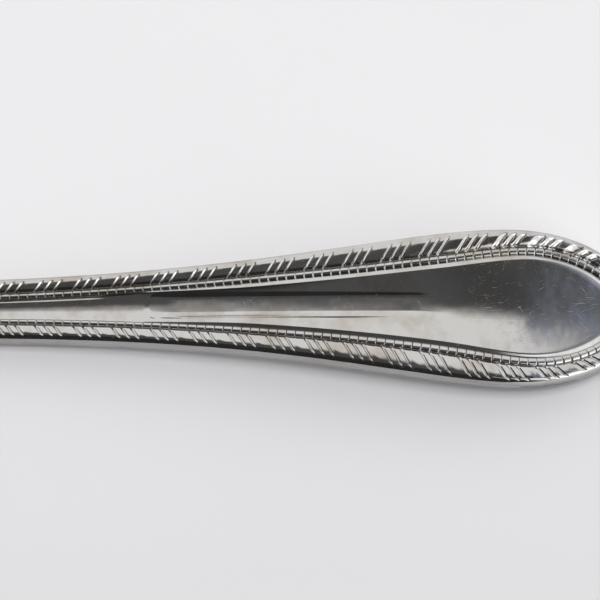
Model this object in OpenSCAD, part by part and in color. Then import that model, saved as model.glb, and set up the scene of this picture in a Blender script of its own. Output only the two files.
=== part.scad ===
// Butter knife with a hollow handle, in millimetres.
// It lies as it does on a table: the blade's flat and the end of the handle touch z = 0, the back of the
// handle looks up, and the handle points along +X. Two struck shells make the handle. They are brazed
// together along the seam, filled with cement round the blade's tang, and brazed to the blade's bolster.

/* [Knife] */
// Length from the tip of the blade to the end of the handle
overall_l = 175; // [165:1:185]

/* [Handle] */
// Length of the handle, from its mouth to its end
handle_l = 100; // [94:1:106]
// Width at the mouth
mouth_w = 7; // [6.6:0.1:8]
// Width at the widest place, near the end
end_w = 19.1; // [18.5:0.1:20.5]
// Length of the rounded end, past the widest place
end_l = 15.6; // [14.5:0.1:17.5]
// How late the sides flare out, from 3.4 for early to 4.4 for late
flare = 3.9; // [3.4:0.1:4.4]
// How much the flaring sides bow, from 0.5 for straight to 1 for a full curve
flare_bow = 0.7; // [0.5:0.05:1]
// Thickness over the rims at the mouth
mouth_t = 4.4; // [4.2:0.1:5]
// Thickness over the rims at the end
end_t = 3.8; // [3.6:0.1:4.6]
// Thickness of the struck sheet
shell_t = 0.6; // [0.5:0.05:0.7]
// Rise of the handle's middle above its mouth
arch_h = 3.8; // [2.5:0.1:5]
// Distance from the end of the handle back to the top of the arch
arch_back = 30.5; // [26:0.5:36]

/* [Border] */
// Width of the rope moulding where it is narrowest
rope_w = 1.8; // [1.6:0.05:2]
// How much wider the rope moulding gets on the flanks
rope_swell = 0.9; // [0.5:0.05:1.1]
// Distance from the end of the handle back to the widest rope moulding
swell_back = 26; // [22:0.5:30]
// Length over which the rope moulding swells, coming from the mouth
swell_l = 21; // [15:0.5:25]
// Length over which it narrows again towards the end
swell_end_l = 11; // [8:0.5:15]
// Height of the rope moulding above the bead course
rope_h = 0.55; // [0.4:0.05:0.7]
// Depth of the slanting cuts across the rope moulding
cut_h = 0.2; // [0.1:0.05:0.3]
// Spacing of the beads
bead_pitch = 1.1; // [1:0.05:1.4]
// Height of a bead
bead_h = 0.35; // [0.2:0.05:0.45]
// Width of the bead course at the mouth
bead_mouth_w = 0.7; // [0.6:0.05:0.85]
// Width of the bead course at the end
bead_end_w = 1.15; // [0.9:0.05:1.3]
// Width of the bevel between beads and panel at the mouth
bevel_mouth_w = 0.15; // [0.1:0.05:0.25]
// Width of the same bevel at the end
bevel_end_w = 0.5; // [0.4:0.05:0.7]
// Height of the bevel at the end
bevel_h = 0.4; // [0.2:0.05:0.45]
// Hollow of the plain panel at the mouth
dish_mouth = 0.25; // [0.1:0.05:0.35]
// Hollow of the plain panel at the end
dish_end = 0.6; // [0.3:0.05:0.7]

/* [Blade] */
// Greatest width of the blade
blade_w = 16; // [14:0.1:17]
// Thickness of the blade beside the bolster
blade_t = 1.8; // [1.5:0.1:2.2]
// Thickness of the blade near its tip
tip_t = 1.3; // [1:0.1:1.5]
// Length of the blade's rounded tip
tip_l = 17; // [12:0.5:22]
// How far the middle of the blade hangs towards its edge
belly = 1.4; // [0.8:0.1:1.5]
// How far the middle of the tip sweeps up towards the back
tip_lift = 1.6; // [0:0.1:2.5]
// Thickness left along the blunt edge
edge_t = 0.7; // [0.5:0.1:0.9]
// Width of the bevel along the edge
edge_w = 4; // [3:0.1:5]
// How far the blunt edge is rounded out
edge_nose = 0.25; // [0.1:0.05:0.4]
// Radius of the rounded back of the blade
spine_r = 0.6; // [0.4:0.05:0.8]
// Length of the bolster, from its collar to the blade
bolster_l = 13; // [10:0.5:16]
// Length of the straight collar that the handle butts against
collar_l = 1.6; // [1:0.1:2.5]
// How far the collar stands proud of the handle
collar_lip = 0.2; // [0.1:0.05:0.3]
// Length of the tang inside the handle
tang_l = 32; // [26:0.5:38]
// Width of the tang at the bolster
tang_w = 4; // [3.4:0.1:4.4]
// Width of the tang at its end
tang_end_w = 2.4; // [2:0.1:3]
// Thickness of the tang at the bolster
tang_t = 1.5; // [1.2:0.1:1.6]
// Thickness of the tang at its end
tang_end_t = 1; // [0.8:0.1:1.1]

/* [Joints] */
// Thickness of the braze between the two shells
seam_gap = 0.12; // [0.08:0.02:0.2]
// Thickness of the braze between the shells and the bolster
mouth_gap = 0.12; // [0.08:0.02:0.2]
// Clearance between the cement and what it fills
cement_gap = 0.05; // [0.02:0.01:0.08]

/* [Hidden] */

steel = [0.78, 0.78, 0.77];
braze = [0.66, 0.65, 0.62];
cement = [0.55, 0.5, 0.44];

tip_x = overall_l / 2;
mouth_x = tip_x - handle_l;
wide_x = tip_x - end_l;
arch_x = tip_x - arch_back;
swell_x = tip_x - swell_back;

// The rope moulding is a half round of seven rings that leans towards the outer edge
rope_lean = 1.5;
rope_step = 30;
function rope_inset(angle) = pow((1 - cos(angle)) / 2, rope_lean);
// The ring at this angle touches the table at the end of the handle
touch_angle = 60;
// One repeat of the rope moulding in half beads: three cuts, then a plain stretch
repeat = 9;
cuts = [0, 2, 4];
// Stations are spaced along a line this share of the rope moulding's width in from the outline
course_share = 0.7;
// The plain rings have one station for this many stations of the border
coarse = 4;
// Shares of the way from the panel's edge to the middle of the handle
panel_shares = [1 / 3, 2 / 3];
outline_steps = 80;
end_steps = 40;
blade_steps = 36;
bolster_steps = 14;
tang_steps = 12;
// Corners of a section of the blade, the bolster and the tang, and which of them is the lowest
corners = 16;
low_corner = corners * 3 / 4;

function mix(a, b, share) = a + (b - a) * share;
function ease(share) = (1 - cos(180 * min(max(share, 0), 1))) / 2;

// Outline of the handle

function flare_share(x) = let (share = min(max(x - mouth_x, 0) / (wide_x - mouth_x), 1))
    pow(sin(90 * pow(share, flare)), flare_bow);
function half_w(x) = mix(mouth_w, end_w, flare_share(x)) / 2;
function unit(v) = v / norm(v);

// A row is [x, y, inward x, inward y] on the +Y side of the outline
slope_step = 0.01;
function side_row(x) = let (slope = (half_w(x + slope_step) - half_w(x)) / slope_step)
    concat([x, half_w(x)], unit([slope, -1]));
function end_row(angle) =
    concat([wide_x + end_l * sin(angle), end_w / 2 * cos(angle)],
           unit([-sin(angle) / end_l, -2 * cos(angle) / end_w]));
outline = concat(
    [for (i = [0 : outline_steps - 1]) side_row(mix(mouth_x, wide_x, i / outline_steps))],
    [for (i = [0 : end_steps]) end_row(90 * i / end_steps)]);

function inset(row, t) = [row[0] + t * row[2], row[1] + t * row[3]];

// Widths and heights of the border, by place along the handle

function half_t(x) = mix(mouth_t, end_t, (x - mouth_x) / handle_l) / 2;
function rope(x) = let (fade_l = x < swell_x ? swell_l : swell_end_l)
    rope_w + rope_swell * exp(-pow((x - swell_x) / fade_l, 2));
function bead_w(x) = mix(bead_mouth_w, bead_end_w, flare_share(x));
function bevel_w(x) = mix(bevel_mouth_w, bevel_end_w, flare_share(x));
function floor_h(x) = half_t(x) - rope_h;
function ridge_t(x) = rope(x) + bead_w(x) + bevel_w(x);
function ridge_h(x) = floor_h(x) + bevel_h * bevel_w(x) / bevel_end_w;
function dish(x) = mix(dish_mouth, dish_end, flare_share(x));

// The middle of the handle's thickness rises from the bolster, arches and comes down to the table

mouth_z = mouth_t / 2 + collar_lip;
arch_z = mouth_z + arch_h;
touch_x = tip_x - rope_inset(touch_angle) * rope(tip_x);
touch_z = half_t(touch_x) - rope_h * (1 - sin(touch_angle));
function mid_z(x) = x < arch_x
    ? mix(mouth_z, arch_z, ease((x - mouth_x) / (arch_x - mouth_x)))
    : arch_z - (arch_z - touch_z) * pow((x - arch_x) / (touch_x - arch_x), 2);

// Stations along the border, half a bead apart

course = [for (row = outline) inset(row, rope(row[0]) * course_share)];
course_s = [for (i = 0, s = 0; i < len(course);
    s = s + (i + 1 < len(course) ? norm(course[i + 1] - course[i]) : 0), i = i + 1) s];
course_l = course_s[len(course_s) - 1];
plain_stations = round(course_l / (bead_pitch / 2) / coarse);
stations = plain_stations * coarse;
columns = [for (k = [0 : 3]) [for (i = [0 : len(outline) - 1]) [course_s[i], outline[i][k]]]];
function station(s) = let (row = [for (column = columns) lookup(s, column)])
    concat([row[0], row[1]], unit([row[2], row[3]]));
rows = [for (i = [0 : stations]) station(course_l * i / stations)];

// A ring runs from the mouth on the +Y side, round the end, to the mouth on the -Y side.
// shape(x, i) gives [inset, height] at station i, and up is 1 for the back and -1 for the front.

function ring(step, up, shape) = [for (c = [0 : step : 2 * stations])
    let (i = min(c, 2 * stations - c),
         side = c <= stations ? 1 : -1,
         at = shape(rows[i][0], i),
         p = inset(rows[i], at[0]))
    [p[0], side * p[1], mid_z(p[0]) + up * at[1]]];

// The middle line of the panel, one point for each plain station. Both sides of a ring share it.
spine_end_x = tip_x - 2 * ridge_t(tip_x);
function spine(up, height) = [for (i = [0 : plain_stations])
    let (x = mix(mouth_x, spine_end_x, i / plain_stations))
    [x, 0, mid_z(x) + up * height(x)]];

function is_cut(i, k) = len(search((i + k) % repeat, cuts)) > 0;
function rope_ring(k, up) = ring(1, up, function (x, i)
    [rope(x) * rope_inset(k * rope_step),
     floor_h(x) + sin(k * rope_step) * (rope_h - (is_cut(i, k) ? cut_h : 0))]);
function bead_ring(share, up) = ring(1, up, function (x, i)
    [rope(x) + bead_w(x) * share,
     floor_h(x) + (i % 2) * bead_h * sin(180 * share)]);
function panel_ring(share, up) =
    let (edge = ring(coarse, up, function (x, i) [ridge_t(x), ridge_h(x)]),
         line = spine(up, function (x) ridge_h(x)))
    [for (c = [0 : len(edge) - 1])
        let (p = mix(edge[c], line[min(c, len(edge) - 1 - c)], share))
        [p[0], p[1], mid_z(p[0]) + up * (ridge_h(p[0]) - dish(p[0]) * (1 - pow(1 - share, 2)))]];

// The inside of a shell, or the cement's skin when it is drawn in by gap

function inner_rings(up, gap) = [
    spine(up, function (x) ridge_h(x) - dish(x) - shell_t - gap),
    ring(coarse, up, function (x, i) [rope(x) + bead_w(x) / 2, floor_h(x) - shell_t - gap]),
    ring(coarse, up, function (x, i) [rope(x) / 2, half_t(x) - shell_t - gap]),
    ring(coarse, up, function (x, i) [shell_t + gap, floor_h(x) - gap]),
];
function seam_ring(t, height) = ring(coarse, 1, function (x, i) [t, height]);

function shell_rings(up) = concat(
    inner_rings(up, 0),
    [seam_ring(shell_t, up * seam_gap / 2), seam_ring(0, up * seam_gap / 2)],
    [for (k = [0 : 180 / rope_step]) rope_ring(k, up)],
    [bead_ring(0.5, up), bead_ring(1, up)],
    [ring(coarse, up, function (x, i) [ridge_t(x), ridge_h(x)])],
    [for (share = panel_shares) panel_ring(share, up)],
    [spine(up, function (x) ridge_h(x) - dish(x))]);

// Skins: triangles between rings of equal or unequal counts, and a cap at the mouth

function first_of(rings) = [for (i = 0, s = 0; i < len(rings); s = s + len(rings[i]), i = i + 1) s];
function folded(points) = len(points) == plain_stations + 1;
function cells(points) = folded(points) ? 2 * plain_stations : len(points) - 1;
function vertex(start, points, c) = start + (folded(points) ? min(c, 2 * plain_stations - c) : c);

// Two rings of one count. The diagonal of each cell follows the lean of the cuts on both sides, and on a
// spine it fans out from the last point.
function even_strip(a, start_a, b, start_b) = [for (c = [0 : cells(a) - 1])
    let (a0 = vertex(start_a, a, c), a1 = vertex(start_a, a, c + 1),
         b0 = vertex(start_b, b, c), b1 = vertex(start_b, b, c + 1),
         rising = 2 * c < cells(a))
    each rising != folded(b) ? [[a0, a1, b0], [b0, a1, b1]] : [[a0, a1, b1], [a0, b1, b0]]];
// A plain ring next to a border ring
function wide_strip(a, start_a, b, start_b) = let (down = cells(a) > cells(b),
        fine = down ? a : b, plain = down ? b : a,
        start_f = down ? start_a : start_b, start_p = down ? start_b : start_a)
    concat(
        [for (c = [0 : cells(fine) - 1])
            let (f0 = start_f + c, f1 = f0 + 1, p = start_p + floor((c + coarse / 2) / coarse))
            down ? [f0, f1, p] : [f1, f0, p]],
        [for (c = [0 : cells(plain) - 1])
            let (p0 = start_p + c, p1 = p0 + 1, f = start_f + coarse * c + coarse / 2)
            down ? [p0, f, p1] : [p0, p1, f]]);
function strip(a, start_a, b, start_b) = cells(a) == cells(b)
    ? even_strip(a, start_a, b, start_b) : wide_strip(a, start_a, b, start_b);
function strips(rings, starts) = [for (i = [0 : len(rings) - 2])
    each strip(rings[i], starts[i], rings[i + 1], starts[i + 1])];
function flip(faces) = [for (face = faces) [for (i = [len(face) - 1 : -1 : 0]) face[i]]];

// Rings that start and end on a spine make a closed body with one cap at the mouth
module skin(rings, up) {
    starts = first_of(rings);
    last = len(rings) - 1;
    cap = concat(
        [for (i = [0 : last]) starts[i]],
        [for (i = [last - 1 : -1 : 1]) vertex(starts[i], rings[i], cells(rings[i]))]);
    faces = concat(strips(rings, starts), [cap]);
    polyhedron([for (points = rings) each points], up > 0 ? faces : flip(faces));
}

// Rings that close on themselves make a band with a cap at each end
module band(rings) {
    loop = concat(rings, [rings[0]]);
    count = len(rings[0]);
    starts = [for (i = [0 : len(rings)]) (i % len(rings)) * count];
    caps = [[for (i = [0 : len(rings) - 1]) starts[i]],
            [for (i = [len(rings) - 1 : -1 : 0]) starts[i] + count - 1]];
    polyhedron([for (points = rings) each points], concat(strips(loop, starts), caps));
}

// Closed sections of one count, one after another along X

function loft_sides(sections, start) = let (count = len(sections[0]))
    [for (i = [0 : len(sections) - 2], j = [0 : count - 1])
        let (a = start + i * count + j, b = start + i * count + (j + 1) % count)
        each [[b, a, a + count], [b, a + count, b + count]]];
function section_cap(sections, i, start) = let (count = len(sections[0]))
    [for (j = [0 : count - 1]) start + i * count + j];

module loft(sections) {
    caps = [section_cap(sections, 0, 0), each flip([section_cap(sections, len(sections) - 1, 0)])];
    polyhedron([for (points = sections) each points], concat(loft_sides(sections, 0), caps));
}

// The same, but the last section joins the first, as in a sleeve
module sleeve(sections) {
    count = len(sections[0]);
    last = count * (len(sections) - 1);
    joint = [for (j = [0 : count - 1])
        let (next = (j + 1) % count)
        each [[last + next, last + j, j], [last + next, j, next]]];
    polyhedron([for (points = sections) each points], concat(loft_sides(sections, 0), joint));
}

module back_shell() {
    color(steel) skin(shell_rings(1), 1);
}

module front_shell() {
    color(steel) skin(shell_rings(-1), -1);
}

module seam_braze() {
    low = -seam_gap / 2;
    high = seam_gap / 2;
    outer = [for (height = [low, high]) seam_ring(0, height)];
    inner = [for (height = [high, low]) seam_ring(shell_t, height)];
    color(braze) band(concat(outer, inner));
}

// Rounded box sections for the collar and the tang, anticlockwise seen from +X

corner_angles = [for (i = [0 : corners - 1]) 360 * i / corners];
function signed_pow(v, power) = sign(v) * pow(abs(v), power);
function box_section(x, y, z, half_y, half_z, square) = [for (angle = corner_angles)
    [x, y + half_y * signed_pow(cos(angle), square), z + half_z * signed_pow(sin(angle), square)]];

// Powers of the rounded boxes: 1 is an ellipse and 0 a sharp box
collar_square = 0.35;
tang_square = 0.35;
collar_x = mouth_x - mouth_gap;
function collar_section(x) =
    box_section(x, 0, mouth_z, mouth_w / 2 + collar_lip, mouth_t / 2 + collar_lip, collar_square);

// The tang, or the pocket round it when it is grown
function tang_section(x, grow) = let (share = max(x - mouth_x, 0) / tang_l)
    box_section(x, 0, mid_z(max(x, mouth_x)),
        mix(tang_w, tang_end_w, share) / 2 + grow, mix(tang_t, tang_end_t, share) / 2 + grow, tang_square);
function tang_sections(grow) = [for (i = [0 : tang_steps])
    tang_section(mix(mouth_x, mouth_x + tang_l + grow, i / tang_steps), grow)];

// A thin plate between the handle's mouth and the collar, with the tang's way through it
module bolster_braze() {
    outer = [for (x = [collar_x, mouth_x])
        box_section(x, 0, mouth_z, mouth_w / 2, mouth_t / 2, collar_square)];
    inner = [for (x = [mouth_x, collar_x]) tang_section(x, cement_gap)];
    color(braze) sleeve(concat(outer, inner));
}

// The cement fills both shells and leaves a pocket for the tang. Its cap at the mouth has as many corners
// as the pocket's mouth.
module cement_core() {
    below = inner_rings(-1, cement_gap);
    above = inner_rings(1, cement_gap);
    edge = seam_ring(shell_t + cement_gap, 0);
    rings = concat(below, [edge], [for (i = [len(above) - 1 : -1 : 0]) above[i]]);
    starts = first_of(rings);
    last = len(rings) - 1;
    pocket = tang_sections(cement_gap);
    first = starts[last] + len(rings[last]);
    mouth = concat(
        [for (i = [0 : last]) starts[i]],
        [for (i = [last - 1 : -1 : 1]) vertex(starts[i], rings[i], cells(rings[i]))]);
    cap = [for (j = [0 : corners - 1])
        let (next = (j + 1) % corners,
             p0 = first + (j + low_corner) % corners,
             p1 = first + (next + low_corner) % corners)
        each [[mouth[j], mouth[next], p0], [mouth[next], p1, p0]]];
    bottom = section_cap(pocket, tang_steps, first);
    faces = concat(strips(rings, starts), cap, flip(loft_sides(pocket, first)), [bottom]);
    color(cement) polyhedron([for (points = concat(rings, pocket)) each points], faces);
}

// Blade: share runs from 0 at the tip to 1 at the bolster

blade_tip_x = -overall_l / 2;
bolster_x = collar_x - bolster_l;
blade_l = bolster_x - blade_tip_x;
// The blade widens from the bolster over this share of its length
neck_share = 0.28;
// The first section has this share, so that the tip ends in a short flat
tip_share = 0.001;
flat_steps = (corners - 6) / 2 - 1;
lift_l = 2 * tip_l;
function blade_half(share) =
    mix(mouth_w, blade_w, ease((1 - share) / neck_share)) / 2
    * sqrt(1 - pow(1 - min(share * blade_l / tip_l, 1), 2));
function blade_mid(share) =
    -belly * ease((1 - share) / neck_share) + tip_lift * pow(1 - min(share * blade_l / lift_l, 1), 2);

// A section has a rounded back, a flat, a bevel and a blunt edge, the same above and below
function blade_section(share) =
    let (x = mix(blade_tip_x, bolster_x, (share - tip_share) / (1 - tip_share)),
         half = blade_half(share),
         high = blade_mid(share) + half,
         low = blade_mid(share) - half,
         t = mix(tip_t, blade_t, share),
         back = min(spine_r, half / 3),
         bevel = min(edge_w, half),
         nose = min(edge_nose, bevel / 3),
         round_y = high - back * (1 - cos(45)),
         round_z = t / 2 * sin(45),
         flat_y = [for (i = [0 : flat_steps]) mix(high - back, low + bevel, i / flat_steps)])
    concat(
        [[x, high, t / 2], [x, round_y, t / 2 + round_z]],
        [for (y = flat_y) [x, y, t]],
        [[x, low + nose, (t + edge_t) / 2], [x, low, t / 2], [x, low + nose, (t - edge_t) / 2]],
        [for (i = [flat_steps : -1 : 0]) [x, flat_y[i], 0]],
        [[x, round_y, t / 2 - round_z]]);

module blade() {
    plate = [for (i = [0 : blade_steps]) blade_section(mix(tip_share, 1, 1 - cos(90 * i / blade_steps)))];
    root = plate[blade_steps];
    swell_end = collar_x - collar_l;
    bolster = [for (i = [1 : bolster_steps])
        let (share = i / bolster_steps, x = mix(bolster_x, swell_end, share), full = collar_section(x))
        [for (j = [0 : len(full) - 1]) mix([x, root[j][1], root[j][2]], full[j], ease(share))]];
    shoulder = [collar_section(collar_x), tang_section(collar_x, 0)];
    color(steel) loft(concat(plate, bolster, shoulder, tang_sections(0)));
}

blade();
back_shell();
front_shell();
seam_braze();
bolster_braze();
cement_core();
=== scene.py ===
# %% [markdown]
# # A butter knife with a hollow handle
# The knife lies on a table with the back of its handle up. Two struck steel shells make the handle: each has
# a rope moulding round its edge, a course of beads inside that, a narrow bevel and a hollowed plain panel.
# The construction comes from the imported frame. This script gives the pieces that show their real surface.

# %% Load the frame
import math

import bmesh
import bpy
import numpy as np
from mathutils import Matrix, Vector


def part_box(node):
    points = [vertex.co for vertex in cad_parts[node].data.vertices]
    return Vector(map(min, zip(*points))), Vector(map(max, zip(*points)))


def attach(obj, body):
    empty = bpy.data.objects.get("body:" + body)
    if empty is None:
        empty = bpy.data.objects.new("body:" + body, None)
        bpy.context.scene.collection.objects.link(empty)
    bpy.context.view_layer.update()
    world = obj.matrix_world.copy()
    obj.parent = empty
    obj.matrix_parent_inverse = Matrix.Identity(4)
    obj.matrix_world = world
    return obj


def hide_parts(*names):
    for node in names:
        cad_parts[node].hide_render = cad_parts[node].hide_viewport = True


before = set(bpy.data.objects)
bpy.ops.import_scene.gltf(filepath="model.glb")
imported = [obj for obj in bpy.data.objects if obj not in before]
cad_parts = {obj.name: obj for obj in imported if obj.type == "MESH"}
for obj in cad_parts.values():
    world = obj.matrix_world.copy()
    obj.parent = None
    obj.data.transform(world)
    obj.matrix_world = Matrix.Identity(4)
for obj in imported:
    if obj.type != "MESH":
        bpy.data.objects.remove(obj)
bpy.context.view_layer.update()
MM = 0.001
shell_low, shell_high = (np.array(corner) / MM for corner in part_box("back_shell"))
print("handle box in mm:", shell_low.round(2), shell_high.round(2))

# %% [markdown]
# ## Camera
# The picture was taken from nearly straight above, with the camera tilted a little towards the table's near
# edge. A long lens keeps the two sides of the handle parallel. The frame cuts off the neck on the left and
# the very end of the handle on the right, so the camera looks a little past the middle of the handle.

# %% Camera
PICTURE_PX = 600
PX_PER_MM = 8.2
CAMERA_ELEVATION = math.radians(77.5)
CAMERA_DISTANCE = 400 * MM
LOOK_AT = np.array([45.4, 0.82, 6.4]) * MM

scene = bpy.context.scene
camera = bpy.data.objects.new("camera", bpy.data.cameras.new("camera"))
scene.collection.objects.link(camera)
camera.data.lens = camera.data.sensor_width * CAMERA_DISTANCE / (PICTURE_PX / PX_PER_MM * MM)
camera.data.clip_start = 10 * MM
camera.rotation_euler = (math.pi / 2 - CAMERA_ELEVATION, 0, 0)
towards_camera = np.array([0, -math.cos(CAMERA_ELEVATION), math.sin(CAMERA_ELEVATION)])
camera.location = LOOK_AT + CAMERA_DISTANCE * towards_camera
scene.camera = camera
scene.view_settings.view_transform = "Standard"
print("lens:", round(camera.data.lens, 1), "mm")

# %% [markdown]
# ## The outline of the handle
# The handle is narrow at the bolster, flares like a long teardrop and closes in half an ellipse. Every ring
# of the border is the same distance in from that outline all the way round, so the outline is kept as a fine
# table of points with their inward normals, and any ring is found by walking along it.

# %% Outline
MOUTH_W, END_L = 7.0, 15.6
FLARE, FLARE_BOW = 3.9, 0.7
SIDE_POINTS, END_POINTS = 2000, 900
mouth_x, tip_x = shell_low[0], shell_high[0]
end_w = shell_high[1] - shell_low[1]
wide_x = tip_x - END_L


def mix(a, b, share):
    return a + (b - a) * share


def ease(share):
    """Half a cosine wave from 0 to 1."""
    return (1 - np.cos(np.pi * np.clip(share, 0, 1))) / 2


def smooth(low, high, v):
    """0 up to low, 1 from high on, with a soft change between them."""
    share = np.clip((v - low) / (high - low), 0, 1)
    return share * share * (3 - 2 * share)


def flare_share(x):
    """0 at the mouth and 1 at the widest place."""
    share = np.clip((x - mouth_x) / (wide_x - mouth_x), 0, 1)
    return np.sin(np.pi / 2 * share ** FLARE) ** FLARE_BOW


side_x = np.linspace(mouth_x, wide_x, SIDE_POINTS, endpoint=False)
end_angle = np.linspace(0, np.pi / 2, END_POINTS)
edge = np.concatenate([
    np.stack([side_x, mix(MOUTH_W, end_w, flare_share(side_x)) / 2], axis=1),
    np.stack([wide_x + END_L * np.sin(end_angle), end_w / 2 * np.cos(end_angle)], axis=1)])
tangent = np.gradient(edge, axis=0)
tangent[0] = (1, 0)
tangent[-1] = (0, -1)
tangent /= np.linalg.norm(tangent, axis=1)[:, None]
inward = np.stack([tangent[:, 1], -tangent[:, 0]], axis=1)
print("outline points on one side:", len(edge))

# %% [markdown]
# ## Widths and heights along the border
# The border is a rope moulding, a bead course and a bevel. Each is slimmer at the neck than at the end, and
# the rope moulding is widest on the flanks. Sizes are in millimetres. Where a size changes along the handle,
# a pair of values gives the places between which it does.

# %% Rope profile
MOUTH_T, END_T = 4.4, 3.8
ROPE_W, ROPE_SWELL = 1.8, 0.9
SWELL_BACK, SWELL_L, SWELL_END_L = 26, 21, 11
ROPE_H, OUTER_H, OUTER_POWER = 0.55, 0.4, 2
CREST, CREST_NEAR = 0.39, 0.29
CREST_OUT, CREST_BACK = (48, 64), (76, 86)


def rope_w(x):
    past = x - tip_x + SWELL_BACK
    return ROPE_W + ROPE_SWELL * np.exp(-(past / np.where(past < 0, SWELL_L, SWELL_END_L)) ** 2)


def crest(x, off):
    """Inset of the rope's crest. On the near side it runs further out on the widest stretch."""
    return mix(CREST, CREST_NEAR, (off < 0) * smooth(*CREST_OUT, x) * (1 - smooth(*CREST_BACK, x)))


def rope_inset(turn, crest_inset):
    """Inset as a share of the rope's width. turn is 0 at the edge, 1 at the crest and 2 at the beads."""
    if turn < 1:
        return crest_inset * turn
    return mix(crest_inset, 1, math.sin(math.pi / 2 * (turn - 1)))


def rope_drop(turn):
    """Depth below the rope's crest."""
    if turn < 1:
        return OUTER_H * (1 - turn) ** OUTER_POWER
    return ROPE_H * (1 - math.cos(math.pi / 2 * (turn - 1)))


def half_t(x):
    return mix(MOUTH_T, END_T, (x - mouth_x) / (tip_x - mouth_x)) / 2


print("widest rope:", ROPE_W + ROPE_SWELL, "mm, at the tip:", round(float(rope_w(tip_x)), 2), "mm")

# %% Bead course, bevel and panel
BEAD_MOUTH_W, BEAD_END_W = 0.7, 1.15
BEVEL_W, BEVEL_H = 0.44, 0.16
BEVEL_NECK, BEVEL_END = 0.05, 0.7
BEVEL_OPENS, BEVEL_THINS = (24, 40), (62, 80)
NECK_DROP, END_DROP, END_SINKS = 0.01, 0.2, (73, 91)
DISH_NECK, DISH_END = 0.26, 0.6
NECK_POWER, END_POWER = 3, 2
NECK_OPENS = (20, 48)


def floor_h(x):
    """Height of the floor inside the rope. It sinks a little more towards the tip."""
    return half_t(x) - ROPE_H - END_DROP * smooth(*END_SINKS, x)


def bead_w(x):
    return mix(BEAD_MOUTH_W, BEAD_END_W, flare_share(x))


def bevel_share(x):
    """0 at the neck, where the panel starts straight from the beads, and 1 where the bevel is full."""
    return smooth(*BEVEL_OPENS, x)


def bevel_thin(x):
    """The bevel gets slimmer again round the end of the handle."""
    return mix(1, BEVEL_END, smooth(*BEVEL_THINS, x))


def bevel_w(x):
    return BEVEL_W * mix(BEVEL_NECK, 1, bevel_share(x)) * bevel_thin(x)


def ridge_inset(x):
    return rope_w(x) + bead_w(x) + bevel_w(x)


def ridge_h(x):
    return floor_h(x) + mix(-NECK_DROP, BEVEL_H * bevel_thin(x), bevel_share(x))


def neck_share(x):
    """1 where the panel is a narrow trough, 0 where it is a wide shallow dish."""
    return 1 - smooth(*NECK_OPENS, x)


def dish(x):
    return mix(DISH_END, DISH_NECK, neck_share(x))


def hollow_at(x, v):
    """Depth of the panel at a share v of the way from its ridge to its middle."""
    return dish(x) * (1 - (1 - v) ** mix(END_POWER, NECK_POWER, neck_share(x)))


print("border width at the widest place:", round(float(ridge_inset(wide_x)), 2), "mm")

# %% [markdown]
# ## Arch
# The whole handle arches: it climbs from the bolster, and its end comes down to the table again. One function
# gives the height of the middle of its thickness, and every ring is built up and down from that.

# %% Arch
COLLAR_LIP = 0.2
ARCH_H, ARCH_BACK = 3.8, 30.5
TOUCH_INSET, TOUCH_DROP = 0.125, 0.134
mouth_z = MOUTH_T / 2 + COLLAR_LIP
arch_z = mouth_z + ARCH_H
arch_x = tip_x - ARCH_BACK
touch_x = tip_x - TOUCH_INSET * rope_w(tip_x)
touch_z = half_t(touch_x) - TOUCH_DROP * ROPE_H


def mid_z(x):
    climb = mix(mouth_z, arch_z, ease((x - mouth_x) / (arch_x - mouth_x)))
    fall = arch_z - (arch_z - touch_z) * ((x - arch_x) / (touch_x - arch_x)) ** 2
    return np.where(x < arch_x, climb, fall)


print("top of the arch:", round(arch_z, 2), "mm, where the end touches:", round(float(touch_x), 2), "mm")

# %% [markdown]
# ## Columns round the border
# The slanting cuts of the rope moulding are narrow, and a plain even grid would blur them. So the grid's
# columns are placed by the pattern itself: close together at each cut, wide apart on the plain stretch. A cut
# has a wall before its bottom and one behind it. On the far side both its depth and the wall before it grow
# towards the end of the handle, and the first cut of a group opens widest.

# %% Cuts
ROPE_PITCH, CUT_SPACING, FIRST_CUT = 4.74, 1.16, 1.1
CUTS = 3
NECK_TO_MIDDLE, MIDDLE_TO_END = (15, 40), (58, 80)
CUT_H, CUT_END_H, CUT_END_H_NEAR = 0.15, 0.26, 0.16
BEFORE_W, BEFORE_END_W, BEFORE_END_W_NEAR = 0.3, 0.75, 0.35
BEHIND_W, BEHIND_MIDDLE_W = 0.22, 0.2
FIRST_WIDER, FIRST_WIDENS = 2.0, (62, 82)


def along_handle(neck, middle, end, x):
    """A size that changes from the neck to the middle of the handle, and again towards its end."""
    return mix(mix(neck, middle, smooth(*NECK_TO_MIDDLE, x)), end, smooth(*MIDDLE_TO_END, x))


def cut_depth(x, near=False):
    return along_handle(CUT_H, CUT_H, np.where(near, CUT_END_H_NEAR, CUT_END_H), x)


def cut_before(x, near=False):
    return along_handle(BEFORE_W, BEFORE_W, np.where(near, BEFORE_END_W_NEAR, BEFORE_END_W), x)


def first_before(x, near=False):
    return cut_before(x, near) * mix(1, np.where(near, 1, FIRST_WIDER), smooth(*FIRST_WIDENS, x))


def cut_behind(x):
    return along_handle(BEHIND_W, BEHIND_MIDDLE_W, BEHIND_W, x)


print("a cut is", BEFORE_W + BEHIND_W, "mm wide at the neck")

# %% Columns
CUT_FROM = 26.2
FIELD_START, FIELD_HALF = 26.7, 1.22
FIELD_FINE, FINE_STEP = (-0.8, 2.4), 0.1
BEFORE_STEPS = (-1.15, -1, -0.85, -0.55, -0.26, -0.1)
BEHIND_STEPS = (0.1, 0.26, 0.6, 1, 1.2)
STRAND_GAP, STRAND_COLUMNS = 0.35, 5
END_CLEAR = 0.05

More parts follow.
